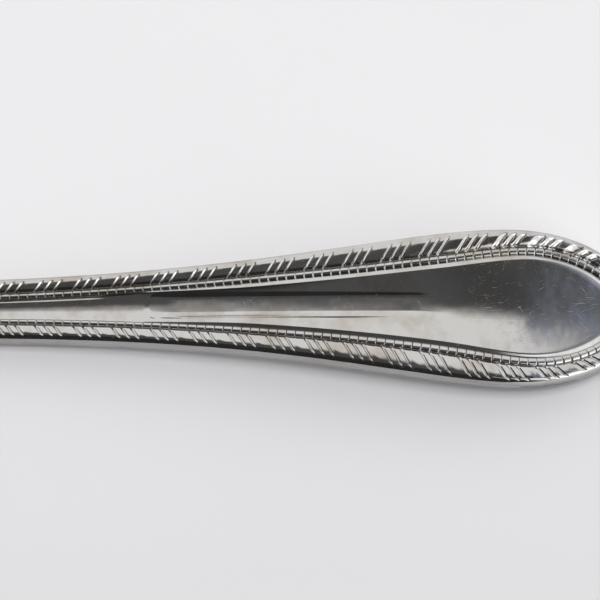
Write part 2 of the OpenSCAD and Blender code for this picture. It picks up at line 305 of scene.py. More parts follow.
course = edge + inward * (rope_w(edge[:, 0]) / 2)[:, None]
course_s = np.concatenate([[0], np.cumsum(np.linalg.norm(np.diff(course, axis=0), axis=1))])
course_l = course_s[-1]
repeat_from = (CUT_FROM - FIRST_CUT) % ROPE_PITCH - ROPE_PITCH
repeats = repeat_from + ROPE_PITCH * np.arange(math.ceil((course_l - repeat_from) / ROPE_PITCH))
fine_x = [FIELD_START + reach for reach in FIELD_FINE]
columns = [np.arange(*np.interp(fine_x, course[:, 0], course_s), FINE_STEP)]
for k in range(CUTS):
    cut_s = repeats + FIRST_CUT + k * CUT_SPACING
    cut_x = np.interp(cut_s, course_s, course[:, 0])
    before = (cut_before if k else first_before)(cut_x)
    columns += [cut_s + step * before for step in BEFORE_STEPS]
    columns += [cut_s + step * cut_behind(cut_x) for step in BEHIND_STEPS]
strand_from = FIRST_CUT + (CUTS - 1) * CUT_SPACING + STRAND_GAP
columns += [repeats + place for place in np.linspace(strand_from, ROPE_PITCH, STRAND_COLUMNS)]
columns = np.concatenate(columns)
columns = np.unique(columns[(columns > END_CLEAR) & (columns < course_l - END_CLEAR)].round(2))
columns = np.concatenate([[0], columns, [course_l]])
print("repeats of the rope on one side:", len(repeats), "columns:", len(columns))

# %% [markdown]
# ## Rings
# A ring runs along the border at one inset and one height. Its columns lean with the cuts, and stand straight
# again at the mouth and at the tip, where both sides meet.

# %% Rings
CUT_LEAN = 0.8
LEAN_FADE_MOUTH, LEAN_FADE_TIP = 4.0, 9.0
lean_fade = np.clip(columns / LEAN_FADE_MOUTH, 0, 1) * np.clip((course_l - columns) / LEAN_FADE_TIP, 0, 1)


def row_at(s):
    """Outline points and inward normals at the distances s along the border, as two arrays."""
    point = np.stack([np.interp(s, course_s, edge[:, k]) for k in (0, 1)], axis=1)
    normal = np.stack([np.interp(s, course_s, inward[:, k]) for k in (0, 1)], axis=1)
    return point, normal / np.linalg.norm(normal, axis=1)[:, None]


def ring(t_of, h_of, up, across=1.0):
    """One side of a ring. t_of and h_of give inset and height for x, across is the share over the rope."""
    lean = CUT_LEAN * (0.5 - across) * lean_fade
    s = columns.copy()
    for _ in range(2):
        s = np.clip(columns + lean * rope_w(row_at(s)[0][:, 0]), 0, course_l)
    point, normal = row_at(s)
    flat = point + normal * np.broadcast_to(t_of(point[:, 0]), len(s))[:, None]
    height = mid_z(flat[:, 0]) + up * h_of(point[:, 0])
    return np.column_stack([flat, height])


print("columns that lean fully:", int((lean_fade == 1).sum()))

# %% [markdown]
# ## The hollow panel
# Inside the border the panel is hollowed like a shallow spoon. On the back shell a long, shallow field with a
# round end is sunk into it, a little off the middle line. It starts shallow at its round end and fades away
# towards the wide end, and a low lip runs along its near side. In the neck a fine line runs just inside the
# beads of the far side. The rows of the grid run straight along the field, so that its walls come out crisp.

# %% Sunk field
FIELD_END, FIELD_FADE, FIELD_OFF = 63.5, 4.5, 0.2
FIELD_DEPTH, FIELD_WALL, FIELD_KEEP = 0.17, 0.27, 0.15
FIELD_SHALLOW, FIELD_DEEPENS = 0.35, 4
LIP_H, LIP_RISES, LIP_FALLS = 0.05, (0.27, 0.35), (0.37, 0.47)
LIP_ASIDE, LIP_FADES = (0.15, 0.8), (48, 60)
LINE_H, LINE_OPENS, LINE_CLOSES, LINE_FADES = 0.12, (0, 0.1), (0.13, 0.3), (19, 26)


def field_rise(x, y, hollow, off):
    """How far the sunk field and the lip along its near side change the panel's depth."""
    beyond = np.hypot(np.minimum(x - FIELD_START - FIELD_HALF, 0), y - off) - FIELD_HALF
    inside = 1 - smooth(-FIELD_WALL, FIELD_WALL, beyond)
    lip = (off < 0) * smooth(*LIP_RISES, beyond) * (1 - smooth(*LIP_FALLS, beyond))
    lip = lip * smooth(*LIP_ASIDE, y) * (1 - smooth(*LIP_FADES, x))
    sunk = np.maximum(dish(x) + FIELD_DEPTH - FIELD_KEEP * (dish(x) - hollow) - hollow, 0)
    sunk = sunk * mix(FIELD_SHALLOW, 1, smooth(FIELD_START, FIELD_START + FIELD_DEEPENS, x))
    return (inside * sunk - lip * LIP_H) * (1 - smooth(FIELD_END - FIELD_FADE, FIELD_END, x))


def neck_line(x, v, off):
    """Depth of a fine line along the far side of the neck, just inside the beads."""
    line = smooth(*LINE_OPENS, v) * (1 - smooth(*LINE_CLOSES, v)) * (1 - smooth(*LINE_FADES, x))
    return (off > 0) * LINE_H * line


print("the sunk field runs from", FIELD_START, "to", FIELD_END, "mm")

# %% Panel rings
RIDGE_SHARES = (0.05, 0.13, 0.25, 0.4, 0.6, 0.8, 1.0)
FIELD_ROWS = (0.48, 0.4, 0.34, 0.27, 0.09, -0.09, -0.27)
FLOOR_SHARES = (0.82, 0.62, 0.42, 0.2, 0.0)
RIDGE_CLEAR = 0.96


def panel_rings(ridge, up, off):
    """Rings from the ridge to the middle line. Past the ridge's widest place the columns meet in a point."""
    widest = ridge[np.argmax(ridge[:, 1])]
    middle = np.minimum(ridge[:, 0], widest[0])
    half = np.where(ridge[:, 0] < widest[0], ridge[:, 1], widest[1])
    off = off * (1 - smooth(FIELD_END - FIELD_FADE, FIELD_END, ridge[:, 0]))
    squeeze = np.minimum(1, RIDGE_CLEAR * half / (FIELD_HALF + FIELD_OFF + FIELD_ROWS[0]))
    field_rows = [(FIELD_HALF + off + row) * squeeze for row in FIELD_ROWS]
    rows = [mix(half, field_rows[0], share) for share in RIDGE_SHARES] + field_rows[1:]
    rows += [field_rows[-1] * share for share in FLOOR_SHARES]
    rings = []
    for row in rows:
        v = 1 - row / half
        x, y = mix(ridge[:, 0], middle, v), ridge[:, 1] * (1 - v)
        hollow = hollow_at(x, v)
        if up > 0:
            hollow = hollow + field_rise(x, y, hollow, off) + neck_line(x, v, off)
        rings.append(np.column_stack([x, y, mid_z(x) + up * (ridge_h(x) - hollow)]))
    return rings


print("rings across half a panel:", len(RIDGE_SHARES) + len(FIELD_ROWS) - 1 + len(FLOOR_SHARES))

# %% [markdown]
# ## The shape of a shell
# A shell is built ring by ring: up the wall, over the rope moulding, along the floor that the beads sit on,
# up the bevel, down into the panel, and back underneath. The rings and their mirror image are joined into one
# closed mesh. Its attributes tell the carving where it is: how far along the border, how deep a cut goes
# there, how wide its two walls are, and how much a strand may swell.

# %% Shell rings
SHEET_T, SEAM_GAP = 0.6, 0.12
OUTER_TURNS = (0, 0.12, 0.22, 0.3, 0.38, 0.46, 0.54, 0.62, 0.7, 0.78, 0.86, 0.93)
ROPE_TURNS = np.array([*OUTER_TURNS, *np.linspace(1, 2, 10)])
BEVEL_SHARES = (0.2, 0.8, 1.0)


def rope_ring(turn, up, off):
    return ring(lambda x: rope_w(x) * rope_inset(turn, crest(x, off)),
                lambda x: half_t(x) - rope_drop(turn), up, across=rope_inset(turn, CREST))


def bevel_ring(share, up):
    return ring(lambda x: ridge_inset(x) - bevel_w(x) * (1 - share),
                lambda x: mix(floor_h(x), ridge_h(x), share), up)


def shell_rings(up, off):
    """Rings of half a shell from its inner middle line to its outer one, and which is the rope's first."""
    seam = [ring(lambda x: SHEET_T, lambda x: SEAM_GAP / 2, up),
            ring(lambda x: 0, lambda x: SEAM_GAP / 2, up, across=0.0)]
    rope = [rope_ring(turn, up, off) for turn in ROPE_TURNS]
    floor = ring(lambda x: rope_w(x) + bead_w(x), floor_h, up)
    bevel = [bevel_ring(share, up) for share in BEVEL_SHARES]
    spine_x = np.minimum(bevel[-1][:, 0], wide_x)
    inner_h = ridge_h(spine_x) - dish(spine_x) - SHEET_T / 2
    inner = [np.column_stack([spine_x, 0 * spine_x, mid_z(spine_x) + up * inner_h]),
             ring(lambda x: rope_w(x) + bead_w(x) / 2, lambda x: floor_h(x) - SHEET_T, up),
             ring(lambda x: rope_w(x) / 2, lambda x: half_t(x) - SHEET_T, up),
             ring(lambda x: SHEET_T, floor_h, up)]
    rings = inner + seam + rope + [floor] + bevel + panel_rings(bevel[-1], up, off)
    return np.array(rings), len(inner) + len(seam)


print("rings over the rope:", len(ROPE_TURNS))

# %% Closed mesh
MERGE_DIST = 0.0005


def stitched(name, full, up):
    """One mesh over all rings, folded shut along both middle lines and capped at the mouth."""
    index = np.arange(full.shape[0] * full.shape[1]).reshape(full.shape[:2])
    for fold in (0, -1):
        index[fold, len(columns):] = index[fold, len(columns) - 2::-1]
    a, b, c, d = index[:-1, :-1], index[:-1, 1:], index[1:, 1:], index[1:, :-1]
    quads = np.stack([a, b, c, d] if up < 0 else [a, d, c, b], axis=-1).reshape(-1, 4)
    cap = list(index[:, 0]) + list(index[-2:0:-1, -1])
    if up < 0:
        cap = cap[::-1]
    faces = [[int(v) for v in dict.fromkeys(face)] for face in quads.tolist() + [cap]]
    mesh = bpy.data.meshes.new(name)
    mesh.from_pydata((full.reshape(-1, 3) * MM).tolist(), [], [face for face in faces if len(face) > 2])
    return mesh


def merge(mesh):
    """Drops loose points and joins doubled ones."""
    work = bmesh.new()
    work.from_mesh(mesh)
    bmesh.ops.delete(work, geom=[v for v in work.verts if not v.link_faces], context="VERTS")
    bmesh.ops.remove_doubles(work, verts=work.verts, dist=MERGE_DIST * MM)
    print(mesh.name, "volume in mm3:", round(work.calc_volume(signed=True) / MM ** 3, 1),
          "open edges:", sum(not e.is_manifold for e in work.edges))
    work.to_mesh(mesh)
    work.free()


print("points closer than", MERGE_DIST, "mm are joined")

# %% Carving attributes
CUT_OPENS, CUT_CLOSES, CUT_TAPER = (0.3, 0.95), (1.8, 1.96), 0.35
STRAND_RISES, STRAND_FALLS = (0.6, 1.2), (1.3, 1.9)
STRAND_NECK, STRAND_FLAT, STRAND_FLATTENS = 0.5, 0.25, (56, 70)
MIRROR = (1, -1, 1)


def there_and_back(half, mirror=1):
    """A row along the far side, followed by its mirror image back along the near side."""
    return np.concatenate([half, half[-2::-1] * mirror])


def mark_carving(mesh, full, rope_from):
    """Writes what the carving needs to know onto the mesh's points."""
    x, near_side = full[:, :, 0], full[:, :, 1] < 0
    rope = slice(rope_from, rope_from + len(ROPE_TURNS))
    cut, swell = np.zeros(full.shape[:2]), np.zeros(full.shape[:2])
    cut[rope] = (smooth(*CUT_OPENS, ROPE_TURNS) * (1 - smooth(*CUT_CLOSES, ROPE_TURNS)))[:, None]
    swell[rope] = (smooth(*STRAND_RISES, ROPE_TURNS) * (1 - smooth(*STRAND_FALLS, ROPE_TURNS)))[:, None]
    swell *= np.where(near_side, mix(1, STRAND_FLAT, smooth(*STRAND_FLATTENS, x)), STRAND_FLAT)
    swell *= mix(STRAND_NECK, 1, flare_share(x))
    taper = mix(CUT_TAPER, 1, smooth(0, 1, cut))
    along = there_and_back(columns) - repeat_from
    marks = {"along": np.broadcast_to(along * MM, full.shape[:2]),
             "cut": cut * cut_depth(x, near_side) * MM,
             "first": first_before(x, near_side) * taper * MM,
             "before": cut_before(x, near_side) * taper * MM,
             "behind": cut_behind(x) * taper * MM,
             "swell": swell}
    for name, values in marks.items():
        values = np.ascontiguousarray(values.ravel(), dtype=np.float32)
        mesh.attributes.new(name, "FLOAT", "POINT").data.foreach_set("value", values)


shells = {}
for shell_name, up in (("back_shell", 1), ("front_shell", -1)):
    far, rope_from = shell_rings(up, FIELD_OFF)
    near, _ = shell_rings(up, -FIELD_OFF)
    full = np.concatenate([far, near[:, -2::-1] * MIRROR], axis=1)
    mesh = stitched(shell_name + "_skin", full, up)
    mark_carving(mesh, full, rope_from)
    merge(mesh)
    shells[shell_name] = bpy.data.objects.new(shell_name + "_skin", mesh)
    scene.collection.objects.link(shells[shell_name])

# %% [markdown]
# ## Node helpers
# Every tree below is built by one function that adds a node, sets it up and links it. A second function runs
# a finished tree on an object and keeps the result as a plain mesh, because instances and live modifiers
# don't survive an export.

# %% Node helpers
def fill(tree, node, inputs):
    """Fills each input with a value or a link. A node given as a value stands for its first output."""
    for key, value in inputs.items():
        if isinstance(value, bpy.types.Node):
            value = next(output for output in value.outputs if output.enabled)
        if isinstance(value, bpy.types.NodeSocket):
            tree.links.new(value, node.inputs[key])
        else:
            node.inputs[key].default_value = value


def add(tree, kind, inputs=None, **settings):
    """Adds one node, applies its settings, then fills its inputs."""
    node = tree.nodes.new(kind)
    for name, value in settings.items():
        setattr(node, name, value)
    fill(tree, node, inputs or {})
    return node


def new_tree(name, sizes):
    """A geometry tree with a named input for each size, and its input node's sockets."""
    tree = bpy.data.node_groups.new(name, "GeometryNodeTree")
    tree.interface.new_socket("Geometry", in_out="INPUT", socket_type="NodeSocketGeometry")
    for size, kind in sizes.items():
        tree.interface.new_socket(size, in_out="INPUT", socket_type=kind)
    tree.interface.new_socket("Geometry", in_out="OUTPUT", socket_type="NodeSocketGeometry")
    return tree, tree.nodes.new("NodeGroupInput").outputs


def settle(obj, tree, values):
    """Runs the tree on the object with these inputs, and keeps the result as the object's own mesh."""
    modifier = obj.modifiers.new(tree.name, "NODES")
    modifier.node_group = tree
    for item in tree.interface.items_tree:
        if item.in_out == "INPUT" and item.name in values:
            modifier[item.identifier] = values[item.name]
    graph = bpy.context.evaluated_depsgraph_get()
    mesh = bpy.data.meshes.new_from_object(obj.evaluated_get(graph), depsgraph=graph)
    obj.modifiers.clear()
    obj.data = mesh
    mesh.name = obj.name
    return mesh


print("node helpers ready")

# %% [markdown]
# ## Steel
# The handle is stainless steel, polished to a soft mirror and then used for years. A metal has almost no
# colour of its own: the eye reads it from what it reflects, and from how finger marks and hair-thin scratches
# blur those reflections. So the base colour stays nearly even, and the patterns go into roughness and a faint
# bump: scratches in loose patches, mostly where the handle is held, and the slight waves that the press left.

# %% Polished steel
SMUDGE_L = 5


def linear(code):
    """An sRGB hex colour as linear RGBA."""
    channels = [int(code[k:k + 2], 16) / 255 for k in (1, 3, 5)]
    return [c / 12.92 if c <= 0.04045 else ((c + 0.055) / 1.055) ** 2.4 for c in channels] + [1.0]


def per_mm(size):
    """The texture scale whose features are about this many millimetres."""
    return 1 / (size * MM)


# Polished stainless: a soft mirror, a little warmer and duller where fingers have smudged it.
polished = bpy.data.materials.new("polished_stainless_steel")
polished.use_nodes = True
steel_tree = polished.node_tree
steel = steel_tree.nodes["Principled BSDF"]
steel.inputs["Metallic"].default_value = 1.0
steel.inputs["Specular Tint"].default_value = linear("#DEDEDE")
place = add(steel_tree, "ShaderNodeTexCoord").outputs["Object"]
smudge = add(steel_tree, "ShaderNodeTexNoise", {"Vector": place, "Scale": per_mm(SMUDGE_L), "Detail": 3.0,
                                                "Roughness": 0.6})
warm = add(steel_tree, "ShaderNodeMapRange", {"Value": smudge, "From Min": 0.45, "From Max": 0.68})
colour = add(steel_tree, "ShaderNodeMix", {"Factor": warm, "A": linear("#CBCAC9"),
                                           "B": linear("#B8B2AB")}, data_type="RGBA")
fill(steel_tree, steel, {"Base Color": colour})
print("material:", polished.name)

# %% Scratches
# Real scratches are finer. These are as wide as they have to be to show.
SCRATCH_L, SCRATCH_W, SCRATCH_H = 1.8, 0.05, 0.004
SCRATCH_ANGLES = (4, 31, -52)
PATCH_L = 6
HELD_FROM, HELD_TO = 45, 75
held = add(steel_tree, "ShaderNodeSeparateXYZ", {"Vector": place}).outputs["X"]
held = add(steel_tree, "ShaderNodeMapRange", {"Value": held, "From Min": HELD_FROM * MM,
                                              "From Max": HELD_TO * MM, "To Max": 0.05})
patch = add(steel_tree, "ShaderNodeTexNoise", {"Vector": place, "Scale": per_mm(PATCH_L), "Detail": 2.0})
patch = add(steel_tree, "ShaderNodeMapRange", {"Value": patch, "From Min": 0.4, "From Max": 0.62,
                                               "To Min": -0.05, "To Max": 0.02})
held = add(steel_tree, "ShaderNodeMath", {0: held, 1: patch}, operation="ADD")
scratch = 0.0
for angle in SCRATCH_ANGLES:
    turned = add(steel_tree, "ShaderNodeMapping", {
        "Vector": place, "Rotation": (0, 0, math.radians(angle)),
        "Scale": (SCRATCH_L * MM, SCRATCH_W * MM, SCRATCH_L * MM)}, vector_type="TEXTURE")
    hair = add(steel_tree, "ShaderNodeTexNoise", {"Vector": turned, "Scale": 1.0, "Detail": 1.0})
    hair = add(steel_tree, "ShaderNodeMath", {0: hair, 1: held}, operation="ADD")
    hair = add(steel_tree, "ShaderNodeMapRange", {"Value": hair, "From Min": 0.75, "From Max": 0.825})
    scratch = add(steel_tree, "ShaderNodeMath", {0: hair, 1: scratch},
                  operation="MAXIMUM")
print("directions of scratches:", len(SCRATCH_ANGLES))

# %% Roughness and waves
WAVE_L, WAVE_H = 4.0, 0.03
rough = add(steel_tree, "ShaderNodeMapRange", {"Value": smudge, "From Min": 0.35, "From Max": 0.75,
                                               "To Min": 0.09, "To Max": 0.17})
rough = add(steel_tree, "ShaderNodeMath", {0: scratch, 1: 0.35, 2: rough}, operation="MULTIPLY_ADD")
fill(steel_tree, steel, {"Roughness": rough})
waves = add(steel_tree, "ShaderNodeTexNoise", {"Vector": place, "Scale": per_mm(WAVE_L), "Detail": 2.0})
waves = add(steel_tree, "ShaderNodeBump", {"Height": waves, "Strength": 1.0,
                                           "Distance": WAVE_H * MM})
bump = add(steel_tree, "ShaderNodeBump", {"Height": scratch, "Strength": 0.2, "Distance": SCRATCH_H * MM,
                                          "Normal": waves}, invert=True)
fill(steel_tree, steel, {"Normal": bump})
print("nodes of the steel:", len(steel_tree.nodes))

# %% [markdown]
# ## Rope moulding
# On the real handle a roller die pressed a rope pattern into the edge: three slanting cuts, a plain strand,
# three more cuts, all the way round. It could be sculpted or drawn as bump. Here a node tree moves the
# shell's own points, so the cuts are real and their count and spacing stay adjustable. The wide walls at the
# far end show as bright petals. The strands swell a little on the near side, and elsewhere hardly at all.

# %% Rope tree
carving, given = new_tree("rope_carving", {
    "Pitch": "NodeSocketFloat", "First Cut": "NodeSocketFloat", "Spacing": "NodeSocketFloat",
    "Flat Bottom": "NodeSocketFloat", "Strand Start": "NodeSocketFloat", "Strand Height": "NodeSocketFloat",
    "Material": "NodeSocketMaterial"})
along, depth, first, before, behind, swell_share = (
    add(carving, "GeometryNodeInputNamedAttribute", {"Name": name}, data_type="FLOAT")
    for name in ("along", "cut", "first", "before", "behind", "swell"))
phase = add(carving, "ShaderNodeMath", {0: along, 1: given["Pitch"]}, operation="FLOORED_MODULO")
cuts = 0.0
for k in range(CUTS):
    bottom = add(carving, "ShaderNodeMath", {0: given["Spacing"], 1: float(k), 2: given["First Cut"]},
                 operation="MULTIPLY_ADD")
    past = add(carving, "ShaderNodeMath", {0: phase, 1: bottom}, operation="SUBTRACT")
    short = add(carving, "ShaderNodeMath", {0: bottom, 1: phase}, operation="SUBTRACT")
    down = add(carving, "ShaderNodeMapRange", {"Value": short, "From Min": before if k else first,
                                               "From Max": 0.0})
    rise = add(carving, "ShaderNodeMapRange", {"Value": past, "From Min": behind,
                                               "From Max": 0.0})
    one = add(carving, "ShaderNodeMath", {0: down, 1: rise}, operation="MINIMUM")
    cuts = add(carving, "ShaderNodeMath", {0: one, 1: cuts}, operation="MAXIMUM")
cuts = add(carving, "ShaderNodeMath", {0: cuts, 1: given["Flat Bottom"]}, operation="MULTIPLY",
           use_clamp=True)
cuts = add(carving, "ShaderNodeMath", {0: cuts, 1: depth}, operation="MULTIPLY")
strand = add(carving, "ShaderNodeMapRange", {"Value": phase, "From Min": given["Strand Start"],
                                             "From Max": given["Pitch"], "To Max": math.pi})
strand = add(carving, "ShaderNodeMath", {0: strand}, operation="SINE")
strand = add(carving, "ShaderNodeMath", {0: strand, 1: given["Strand Height"]}, operation="MULTIPLY")
strand = add(carving, "ShaderNodeMath", {0: strand, 1: swell_share}, operation="MULTIPLY")
height = add(carving, "ShaderNodeMath", {0: strand, 1: cuts}, operation="SUBTRACT")
outward = add(carving, "GeometryNodeInputNormal")
move = add(carving, "ShaderNodeVectorMath", {0: outward, "Scale": height}, operation="SCALE")
carved = add(carving, "GeometryNodeSetPosition", {"Geometry": given["Geometry"], "Offset": move})
dressed = add(carving, "GeometryNodeSetMaterial", {"Geometry": carved,
                                                   "Material": given["Material"]})
add(carving, "NodeGroupOutput", {"Geometry": dressed})
print("rope tree nodes:", len(carving.nodes))

# %% Carve the shells
STRAND_H, CUT_FLAT = 0.05, 1.35
SHELL_CREASE = math.radians(40)
for shell_name, shell in shells.items():
    mesh = settle(shell, carving, {
        "Pitch": ROPE_PITCH * MM, "First Cut": FIRST_CUT * MM, "Spacing": CUT_SPACING * MM,
        "Flat Bottom": CUT_FLAT, "Strand Start": strand_from * MM, "Strand Height": STRAND_H * MM,
        "Material": polished})
    mesh.shade_smooth()
    mesh.set_sharp_from_angle(angle=SHELL_CREASE)
    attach(shell, "root")
    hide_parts(shell_name)
    print(shell.name, "triangles:", sum(len(p.vertices) - 2 for p in mesh.polygons))

# %% [markdown]
# ## Bead course
# Inside the rope runs a row of small pillow-shaped beads, struck with the shell. They repeat along a path, so
# a node tree sets one bead on every step of the path. The bead is a coarse block, since there are hundreds of
# them: round across, nearly straight along, with its ends drawn in a little. Each keeps the path's direction,
# leans towards the panel, and its width follows the course.

# %% Bead shape
BEAD_ARC, BEAD_FOOT = math.radians(80), -0.5
BEAD_SQUARE, DRAWN_FROM, LONG_SIDE = 0.19, 0.6, 0.5
beading, given = new_tree("bead_course", {
    "Count": "NodeSocketInt", "Length": "NodeSocketFloat", "Height": "NodeSocketFloat",
    "End Size": "NodeSocketFloat", "Seed": "NodeSocketInt", "Material": "NodeSocketMaterial"})
block = add(beading, "GeometryNodeMeshCube", {"Size": (2, 2, 2), "Vertices X": 6, "Vertices Y": 5,
                                              "Vertices Z": 2})
corner = add(beading, "GeometryNodeInputPosition")
corner = add(beading, "ShaderNodeSeparateXYZ", {"Vector": corner}).outputs
arc = add(beading, "ShaderNodeMath", {0: corner["Y"], 1: BEAD_ARC}, operation="MULTIPLY")
across = add(beading, "ShaderNodeMath", {0: arc}, operation="SINE")
crown = add(beading, "ShaderNodeMath", {0: arc}, operation="COSINE")
level = add(beading, "ShaderNodeMapRange", {"Value": corner["Z"], "From Min": -1.0, "From Max": 1.0,
                                            "To Min": BEAD_FOOT, "To Max": crown})
from_middle = add(beading, "ShaderNodeMath", {0: corner["X"]}, operation="ABSOLUTE")
stretched = add(beading, "ShaderNodeMath", {0: from_middle, 1: BEAD_SQUARE}, operation="POWER")
which_end = add(beading, "ShaderNodeMath", {0: corner["X"]}, operation="SIGN")
along = add(beading, "ShaderNodeMath", {0: stretched, 1: which_end}, operation="MULTIPLY")
drawn_in = add(beading, "ShaderNodeMapRange", {"Value": from_middle, "From Min": DRAWN_FROM, "To Min": 1.0,
                                               "To Max": given["End Size"]})
pillow = add(beading, "ShaderNodeCombineXYZ", {"Y": across, "Z": level})
pillow = add(beading, "ShaderNodeVectorMath", {0: pillow, "Scale": drawn_in}, operation="SCALE")
length = add(beading, "ShaderNodeCombineXYZ", {"X": along})
pillow = add(beading, "ShaderNodeVectorMath", {0: pillow, 1: length}, operation="ADD")
long_side = add(beading, "ShaderNodeMath", {0: from_middle, 1: LONG_SIDE}, operation="LESS_THAN")
bead = add(beading, "GeometryNodeSetShadeSmooth", {"Geometry": block, "Selection": long_side})
bead = add(beading, "GeometryNodeSetPosition", {"Geometry": bead, "Position": pillow})
print("nodes of one bead:", len(beading.nodes))

# %% Beads on the path
BEAD_FILL = 0.47
UNEVEN = {"Min": (0.97, 0.97, 0.93), "Max": (1.02, 1.02, 1.03)}
path = add(beading, "GeometryNodeMeshToCurve", {"Mesh": given["Geometry"]})
steps = add(beading, "GeometryNodeCurveToPoints", {"Curve": path, "Count": given["Count"]},
            mode="COUNT").outputs
width = add(beading, "GeometryNodeInputNamedAttribute", {"Name": "width"},
            data_type="FLOAT")
top = add(beading, "GeometryNodeInputNamedAttribute", {"Name": "top"},
          data_type="FLOAT_VECTOR")
facing = add(beading, "FunctionNodeAlignRotationToVector", {"Vector": steps["Tangent"]},
             axis="X")
upright = add(beading, "FunctionNodeAlignRotationToVector", {"Rotation": facing, "Vector": top},
              axis="Z", pivot_axis="X")
uneven = add(beading, "FunctionNodeRandomValue", {**UNEVEN, "Seed": given["Seed"]}, data_type="FLOAT_VECTOR")
half_l = add(beading, "ShaderNodeMath", {0: given["Length"], 1: 0.5}, operation="MULTIPLY")
half_w = add(beading, "ShaderNodeMath", {0: width, 1: BEAD_FILL}, operation="MULTIPLY")
size = add(beading, "ShaderNodeCombineXYZ", {"X": half_l, "Y": half_w, "Z": given["Height"]})
size = add(beading, "ShaderNodeVectorMath", {0: size, 1: uneven}, operation="MULTIPLY")
beads = add(beading, "GeometryNodeInstanceOnPoints", {
    "Points": steps["Points"], "Instance": bead, "Rotation": upright, "Scale": size})
whole = add(beading, "GeometryNodeRealizeInstances", {"Geometry": beads})
dressed = add(beading, "GeometryNodeSetMaterial", {"Geometry": whole,
                                                   "Material": given["Material"]})
add(beading, "NodeGroupOutput", {"Geometry": dressed})
print("bead tree nodes:", len(beading.nodes))

# %% Beads
BEAD_PITCH, BEAD_L, BEAD_H, BEAD_LIFT = 1.09, 1.04, 0.32, 0.02
BEAD_LEAN = math.radians(12)
END_SIZE = 0.85
PATH_STEP = 8


def bead_path(up):
    """Points, widths and bead directions along the course: from the mouth, round the tip, to the mouth."""
    x = edge[:, 0]
    flat = edge + inward * (rope_w(x) + bead_w(x) / 2)[:, None]
    point = np.column_stack([flat, mid_z(flat[:, 0]) + up * (floor_h(x) + BEAD_LIFT)])[::PATH_STEP]
    point[-1, 1] = 0
    upward = np.full(len(x), math.cos(BEAD_LEAN) * up)
    top = np.column_stack([inward * math.sin(BEAD_LEAN), upward])[::PATH_STEP]
    width = bead_w(x)[::PATH_STEP]
    return there_and_back(point, MIRROR), there_and_back(width), there_and_back(top, MIRROR)


for seed, (shell_name, up) in enumerate((("back", 1), ("front", -1))):
    points, widths, tops = bead_path(up)
    count = round(np.linalg.norm(np.diff(points, axis=0), axis=1).sum() / BEAD_PITCH)
    mesh = bpy.data.meshes.new(shell_name + "_bead_path")
    mesh.from_pydata((points * MM).tolist(), [(k, k + 1) for k in range(len(points) - 1)], [])
    widths, tops = (widths * MM).astype(np.float32), tops.astype(np.float32).ravel()
    mesh.attributes.new("width", "FLOAT", "POINT").data.foreach_set("value", widths)
    mesh.attributes.new("top", "FLOAT_VECTOR", "POINT").data.foreach_set("vector", tops)
    course_beads = bpy.data.objects.new(shell_name + "_beads", mesh)
    scene.collection.objects.link(course_beads)
    settle(course_beads, beading, {"Count": count, "Length": BEAD_L * MM, "Height": BEAD_H * MM,
                                   "End Size": END_SIZE, "Seed": seed, "Material": polished})
    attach(course_beads, "root")
    print(course_beads.name, "beads:", count, "faces:", len(course_beads.data.polygons))

# %% [markdown]
# ## Blade
# The blade is forged with its bolster and tang in one piece: a blunt spreading blade with a round tip, a
# straight back and a thinned lower edge, a bolster that swells to the collar, and a tang inside the handle.
# It is lofted through rounded sections, whose width, thickness and squareness change along its length.

# %% Blade sections
BLADE_W, BLADE_T, TIP_T = 16.0, 1.8, 1.3
TIP_L, BELLY, TIP_LIFT = 17.0, 1.4, 1.6
EDGE_T, EDGE_W = 0.7, 4.0
BOLSTER_L, MOUTH_GAP = 13.0, 0.12
NECK_SHARE = 0.28
SQUARE_BLADE, SQUARE_COLLAR = 0.22, 0.35
CORNERS = 72
TIP_SHARES = (0.0005, 0.002, 0.005, 0.01, 0.018)
blade_tip = float(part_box("blade")[0][0]) / MM
collar_end = mouth_x - MOUTH_GAP
bolster_x = collar_end - BOLSTER_L
blade_l = bolster_x - blade_tip
round_turn = np.linspace(0, 2 * np.pi, CORNERS, endpoint=False)


def section(x, mid, half, z, thick, square, edge_share=0):
    """A rounded section. edge_share says how far the lower edge is thinned."""
    across = np.sign(np.cos(round_turn)) * np.abs(np.cos(round_turn)) ** square
    rise = np.sign(np.sin(round_turn)) * np.abs(np.sin(round_turn)) ** square
    from_edge = (across + 1) * half
    thin = mix(1, mix(EDGE_T / thick, 1, smooth(0, EDGE_W, from_edge)), edge_share)
    return np.column_stack([np.full(CORNERS, x), mid + half * across, z + thick / 2 * thin * rise])


sections = []
for share in np.concatenate([TIP_SHARES, np.linspace(0.03, 1, 90)]):
    full = np.sqrt(1 - (1 - min(share * blade_l / TIP_L, 1)) ** 2)
    spread = float(ease((1 - share) / NECK_SHARE))
    half = mix(MOUTH_W, BLADE_W, spread) / 2 * full
    mid = -BELLY * spread + TIP_LIFT * (1 - min(share * blade_l / (2 * TIP_L), 1)) ** 2
    thick = mix(TIP_T, BLADE_T, share)
    sections.append(section(blade_tip + share * blade_l, mid, half, thick / 2, thick, SQUARE_BLADE, spread))
print("sections of the blade:", len(sections))

# %% Bolster, collar and tang
COLLAR_L, BOLSTER_STEPS = 1.6, 25
